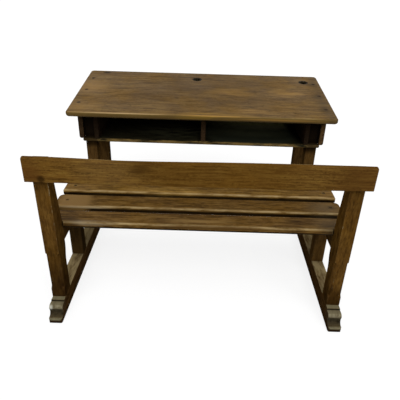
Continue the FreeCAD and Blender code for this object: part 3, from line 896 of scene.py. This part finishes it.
        # The far arris is rubbed pale and takes a painted highlight.
        marks = [Mark((0, high[1], high[2] - 4), 9, "a8966c", 0.85, 0.4, (0, 1, 0.6)),
                 Mark((75, face, 0), 280, "573809", 0.38, 0.55, LEVEL_X),
                 Mark((-290, face, 0), 130, "8a7148", 0.13, 0.2, LEVEL_X),
                 Mark((-170, face, 618), 60, "442b0a", 0.4, 0.1, (0.6, 1, 1)),
                 Mark((-183, face, 599), 32, "402a0e", 0.4, 0.1, (0.7, 1, 1)),
                 Mark((-530, face, 582), 60, "553212", 0.6, 0.1),
                 Mark((500, face, 590), 120, "513314", 0.55, 0.1)]
        height = middle_mm("rail_screws")[2]
        marks += [Mark((x, face, height), self.rail_ring_mm, "241607", strength, 0.3)
                  for x, strength in zip(self.screw_ends("rail_screws"), (0.75, 0.1))]
        return tuple(marks)

    def dress(self, rail_piece: Piece) -> None:
        """Give the seat, the rail and the screws their finishes.

        Args:
            rail_piece: The worn rail.
        """
        # The tones of each slat, from deep to warm.
        slats = {"seat_slat_rear": ("38270f", "614622", "7c5f33", "a08858", "6c4e20"),
                 "seat_slat_middle": ("34240d", "5c421e", "785b2e", "a08858", "684a1c"),
                 "seat_slat_front": ("443011", "6d5026", "8b6b36", "a89060", "7b5a22")}
        for node, tones in slats.items():
            slat = WoodFinish(
                "worn_oak_" + node, Grain.LENGTHWISE, *tones, pith=(0, middle_mm(node)[1] + 25, 270),
                streak_mm=11, fibre_mm=8, specular=0.03, shade_and_dirt=0.8, shade_and_dirt_mm=60,
                marks=self.slat_marks(node))
            put_on(slat, [node])
        # The rail's faces that look up are darkened as painted shade against the stronger light that falls on
        # them.
        rail = WoodFinish(
            "varnished_oak_rail", Grain.LENGTHWISE, "442c10", "6a4b20", "84642c", "98794c", "755320",
            upward_dust_and_light="4f3614", upward_dust_and_light_share=0.7, pith=(0, -470, 590), streak_mm=10, fibre_length_mm=80,
            pore_length_mm=10, fibre_share=0.95, shade_and_dirt=0.45, shade_and_dirt_mm=60, marks=self.rail_marks())
        put_on(rail, [rail_piece])
        put_on(IronFinish("slat_screw_iron", bright="6b5839", rust="3a2a16"), ["slat_screws"])
        put_on(IronFinish("rail_screw_iron", bright="8a7b62", rust="4e3f2b", varnished=0.95), ["rail_screws"])


@dataclass
class SideFrames:
    """Runners, posts, legs and bearers of both sides."""

    foot_dirt_mm: tuple[float, float] = (300.0, 105.0)
    chamfer_rub_mm: float = 9.0
    # The rings of the frames' stock run round a pith inside of the right frame.
    pith_x_mm: float = 430.0

    def foot_marks(self) -> tuple[Mark, ...]:
        """Bands across the scrolled feet: painted shade in the step, the cove and the heel, pale worn grey
        with painted highlights on shoulder and toe.

        Returns:
            The marks, most of them lines across the runner.
        """
        # Dark bands are painted shade; pale bands are worn grey wood with painted highlights.
        # Distance from the end, height, radius, colour, strength and whether the band is broken.
        bands = [(34, 50, 50, "625b46", 0.8, False), (53, 61, 5, "140e07", 0.85, False),
                 (19, 28, 22, "2a2418", 0.75, False), (18, 30, 20, "110c06", 0.75, True),
                 (-1, 5, 11, "1c140b", 0.85, False), (36, 58, 14, "7c745c", 0.5, True),
                 (27, 54, 8, "8f8870", 0.6, True), (64, 66, 10, "6c6750", 0.7, False),
                 (3, 17, 8, "6a6650", 0.75, False)]
        low, high = box_mm("runner_left")
        found = []
        for reach, height, radius, colour, strength, broken in bands:
            found += [Mark((0, y, height), radius, colour, strength, 0.3, ALONG_X, broken)
                      for y in (low[1] + reach, high[1] - reach)]
        # Shoes reach the runners less between the legs, and the left foot has been kicked to bare wood.
        between = box_mm("bench_leg_left")[1][1] + 130
        return (*found, Mark((0, between, 0), 190, "43361f", 0.5, 0.3, LEVEL_Y),
                Mark((low[0] + 5, low[1] + 29, 50), 12, "cfd0c4", 0.8, 0.2))

    def post_marks(self) -> tuple[Mark, ...]:
        """Floor dirt at the foot of each post and varnish rubbed off its inner chamfer.

        Returns:
            The marks.
        """
        found = []
        for node, inner, dirt_mm in zip(pair("rear_post_"), (1, 0), self.foot_dirt_mm):
            near = box_mm(node)[0][1]
            found += [Mark((middle_mm(node)[0], near, 75), dirt_mm, "1d1007", 0.7, 0.1),
                      Mark((box_mm(node)[inner][0], near, 165), self.chamfer_rub_mm, "74593a", 0.6, 0.3,
                           (1, 1, 0.09), True)]
        return tuple(found)

    def dress(self) -> None:
        """Give every member of the frames its stain, with the grain along it."""
        x = self.pith_x_mm
        posts = WoodFinish(
            "stained_oak_posts", Grain.UPRIGHT, "38240d", "5b3f1a", "725325", "7d5f34", "664718",
            wear=0.3, pith=(x, -500, 0), streak_mm=18, streak_length_mm=150, ring_share=0.06,
            fibre_length_mm=35, fibre_share=0.75, blotch_mm=24, blotch_length_mm=50, blotch_share=1.2,
            marks=self.post_marks())
        put_on(posts, pair("rear_post_"))
        bearers = WoodFinish(
            "stained_oak_bearers", Grain.FORE_AND_AFT, "2d1f0e", "50391c", "614825", "6d5330", "563d1a",
            pith=(x, 0, 250), ring_share=0.06, fibre_share=0.6)
        put_on(bearers, pair("seat_bearer_"))
        # The left bench leg is the darkest of the legs.
        grimy = Mark(tuple(middle_mm("bench_leg_left")), 170, "22190c", 0.6, 0.3)
        legs = replace(
            bearers, name="stained_oak_legs", grain=Grain.UPRIGHT, pith=(x, 100, 0), streak_mm=18,
            streak_length_mm=150, blotch_length_mm=50, marks=(grimy,))
        put_on(legs, pair("bench_leg_") + pair("desk_far_leg_"))
        # The upper ends of the near legs stand in the dark between the boards of the box and under the shelf;
        # painted shade darkens them there.
        painted_leg_shade = (Mark((0, 0, 600), 160, "1a140e", 0.95, 0.9, LEVEL_Z),
                 Mark((0, 0, 430), 45, "120b05", 0.7, 0.4, LEVEL_Z))
        put_on(replace(legs, name="oak_legs_with_painted_shade", marks=painted_leg_shade), pair("desk_near_leg_"))
        # The runners' faces that look up are pale grey: dust and wear, and painted light where the seat
        # shades them.
        runners = WoodFinish(
            "scuffed_oak_runners", Grain.FORE_AND_AFT, "2f1e0d", "4f361a", "63482a", "8a7a5c", "553a1a",
            upward_dust_and_light="9a8861", upward_dust_and_light_share=0.9, wear=0.5, pith=(x, 0, -40), marks=self.foot_marks(),
            marks_on_sides=0.2)
        put_on(runners, pair("runner_"))


@dataclass
class Inkwells:
    """The two lift-out cups and the ink dried in them."""

    cup_depth_mm: float = 38.0
    wall_mm: float = 3.0
    bore_mm: float = 33.2
    ink_depth_mm: float = 9.0
    creep_mm: float = 2.6
    gap_mm: float = 0.3
    segments: int = 48
    face_points: int = 16
    foot_points: int = 7

    def ink_profile(self) -> tuple[np.ndarray, np.ndarray]:
        """Profile of the dried ink, from the middle of its face round to the middle of its base.

        The face is flat in the middle and climbs the wall as an exponential of the distance to it; the
        base is flat with a rounded rim.

        Returns:
            Radii and heights in millimetres above the floor of the cup.
        """
        wall = self.bore_mm / 2 - self.gap_mm
        radius = np.linspace(0.0, wall, self.face_points)
        face = self.ink_depth_mm + self.creep_mm * np.exp((radius - wall) / self.creep_mm)
        turn = np.linspace(0.0, math.pi / 2, self.foot_points)
        rim_radius = wall - self.wall_mm * (1 - np.cos(turn))
        rim_height = self.gap_mm + self.wall_mm * (1 - np.sin(turn))
        return np.concatenate((radius, rim_radius, [0.0])), np.concatenate((face, rim_height, [self.gap_mm]))

    def turned(self, name: str, radii: np.ndarray, heights: np.ndarray, base: np.ndarray) -> Piece:
        """Turn a profile about the axis square to the sloped top.

        Each point is the profile's radius carried round a circle, tilted with the top and moved to the
        base. The two ends of the profile lie on the axis and close as poles.

        Args:
            name: The piece's name.
            radii: Radii of the profile in millimetres.
            heights: Heights of the profile in millimetres.
            base: Where the axis meets the floor of the cup, in millimetres.

        Returns:
            The new piece at the origin.
        """
        turn = np.linspace(0.0, 2 * math.pi, self.segments, endpoint=False)
        inner = radii[1:-1]
        x = np.outer(inner, np.cos(turn)).ravel()
        y = np.outer(inner, np.sin(turn)).ravel()
        z = np.repeat(heights[1:-1], self.segments)
        points = np.vstack((np.column_stack((x, y, z)), [[0, 0, heights[0]], [0, 0, heights[-1]]]))
        points = points @ np.array(Matrix.Rotation(TOP_SLOPE, 3, "X")).T + base
        # The rows run down the outside, so the faces are read the other way round.
        quads = ring_faces(len(inner), self.segments)[:, [0, 3, 2, 1]]
        ring = np.arange(self.segments)
        after = (ring + 1) % self.segments
        last = (len(inner) - 1) * self.segments
        face = np.column_stack((ring, after, np.full(self.segments, len(points) - 2)))
        under = np.column_stack((last + after, last + ring, np.full(self.segments, len(points) - 1)))
        return new_piece(name, points, quads.tolist() + face.tolist() + under.tolist())

    def build(self) -> list[Piece]:
        """Make the dried ink of both wells.

        Returns:
            The two pieces, each riding on its cup.
        """
        normal = np.array((0.0, -math.sin(TOP_SLOPE), math.cos(TOP_SLOPE)))
        made = []
        for side in SIDES:
            # The middle of the box is half-way up the tilted cup.
            base = middle_mm("inkwell_" + side) - normal * (self.cup_depth_mm / 2 - self.wall_mm)
            piece = self.turned("dried_ink_" + side, *self.ink_profile(), base)
            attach(piece, "inkwell_" + side)
            made.append(piece)
        return made

    def dress(self, inks: list[Piece]) -> None:
        """Glaze the cups and blacken the ink.

        Args:
            inks: The dried ink of both wells.
        """
        glaze = GlazeFinish("ink_stained_stoneware", glaze="332e20", ink="070503", spot_mm=7, roughness=0.3)
        put_on(glaze, pair("inkwell_"))
        dry = GlazeFinish("dried_ink", glaze="0d0b08", ink="040302", spot_mm=4, roughness=0.45)
        put_on(dry, inks)


@dataclass
class Studio:
    """Camera at the photograph's angle, a pale floor, two soft lights and an even sky."""

    focal_px: float = 444.1
    frame_px: float = 400.0
    sensor_mm: float = 36.0
    camera_mm: Point = (10.55, -1749.2, 1186.6)
    yaw: float = -0.0043
    pitch: float = 0.50445
    roll: float = 0.0291
    floor_m: float = 60.0
    # Glow and lit part of the floor that the eye sees, and what it throws back on to the desk.
    floor_glow: float = 0.8
    floor_shadow: Colour = (0.25, 0.25, 0.25, 1.0)
    floor_bounce: Colour = (0.3, 0.3, 0.3, 1.0)
    sky: float = 0.3
    # Name, strength, azimuth and elevation in degrees, and whether gloss mirrors the lamp.
    lamps: tuple[Lamp, ...] = (("key", 2.45, 8.0, 50.0, True), ("fill", 0.9, 188.0, 28.0, False))
    lamp_spread_degrees: float = 60.0

    def camera(self) -> None:
        """Put the camera where the edges of the photograph say it stood."""
        level = math.cos(self.pitch)
        forward = np.array((math.sin(self.yaw) * level, math.cos(self.yaw) * level, -math.sin(self.pitch)))
        right = np.array((math.cos(self.yaw), -math.sin(self.yaw), 0.0))
        above = np.cross(right, forward)
        across = math.cos(self.roll) * right + math.sin(self.roll) * above
        upward = -math.sin(self.roll) * right + math.cos(self.roll) * above
        data = bpy.data.cameras.new("camera")
        data.sensor_width = self.sensor_mm
        data.lens = self.focal_px / self.frame_px * self.sensor_mm
        camera = bpy.data.objects.new("camera", data)
        turn = Matrix(np.column_stack((across, upward, -forward)).tolist()).to_4x4()
        camera.matrix_world = Matrix.Translation([v * MM for v in self.camera_mm]) @ turn
        bpy.context.scene.collection.objects.link(camera)
        bpy.context.scene.camera = camera

    def floor(self) -> None:
        """Lay a pale floor that keeps the shadow and reads as white to the eye."""
        half = self.floor_m / MM / 2
        corners = np.array([(-half, -half, 0), (half, -half, 0), (half, half, 0), (-half, half, 0)])
        floor = new_piece("floor", corners, [[0, 1, 2, 3]])
        material, tree = new_tree("pale_floor")
        lit = add(tree, "BsdfDiffuse", {"Color": self.floor_shadow})
        glow = add(tree, "Emission", {"Color": WHITE, "Strength": self.floor_glow})
        both = add(tree, "AddShader", links={0: lit, 1: glow})
        dull = add(tree, "BsdfDiffuse", {"Color": self.floor_bounce})
        surface = add(tree, "MixShader", links={0: seen(tree), 1: dull, 2: both})
        add(tree, "OutputMaterial", links={"Surface": surface})
        floor.data.materials.append(material)

    def light(self) -> None:
        """Set an even sky, white to the eye, a key light from the front and a fill light from behind."""
        world = bpy.data.worlds.new("studio")
        bpy.context.scene.world = world
        world.use_nodes = True
        tree = world.node_tree
        tree.nodes.clear()
        strength = add(tree, "MapRange", span(Fade.WHOLE, 1.0, self.sky), {"Value": seen(tree)})
        sky = add(tree, "Background", {"Color": WHITE}, {"Strength": strength})
        add(tree, "OutputWorld", links={"Surface": sky})
        for name, energy, azimuth, elevation, mirrored in self.lamps:
            data = bpy.data.lights.new(name, "SUN")
            data.energy = energy
            data.angle = math.radians(self.lamp_spread_degrees)
            lamp = bpy.data.objects.new(name, data)
            lamp.visible_glossy = mirrored
            lamp.matrix_world = (Matrix.Rotation(math.radians(azimuth), 4, "Z")
                                 @ Matrix.Rotation(math.radians(90 - elevation), 4, "X"))
            bpy.context.scene.collection.objects.link(lamp)

    def build(self) -> None:
        """Set the view and build the studio."""
        bpy.context.scene.view_settings.view_transform = "Standard"
        self.camera()
        self.floor()
        self.light()


def main() -> None:
    """Build and dress every sub-assembly in order."""
    logging.basicConfig(level=logging.INFO, format="%(name)s: %(message)s")
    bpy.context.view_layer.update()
    Studio().build()
    WritingDesk().dress()
    bench = Bench()
    bench.dress(bench.build())
    SideFrames().dress()
    wells = Inkwells()
    wells.dress(wells.build())


if __name__ == "__main__":
    main()
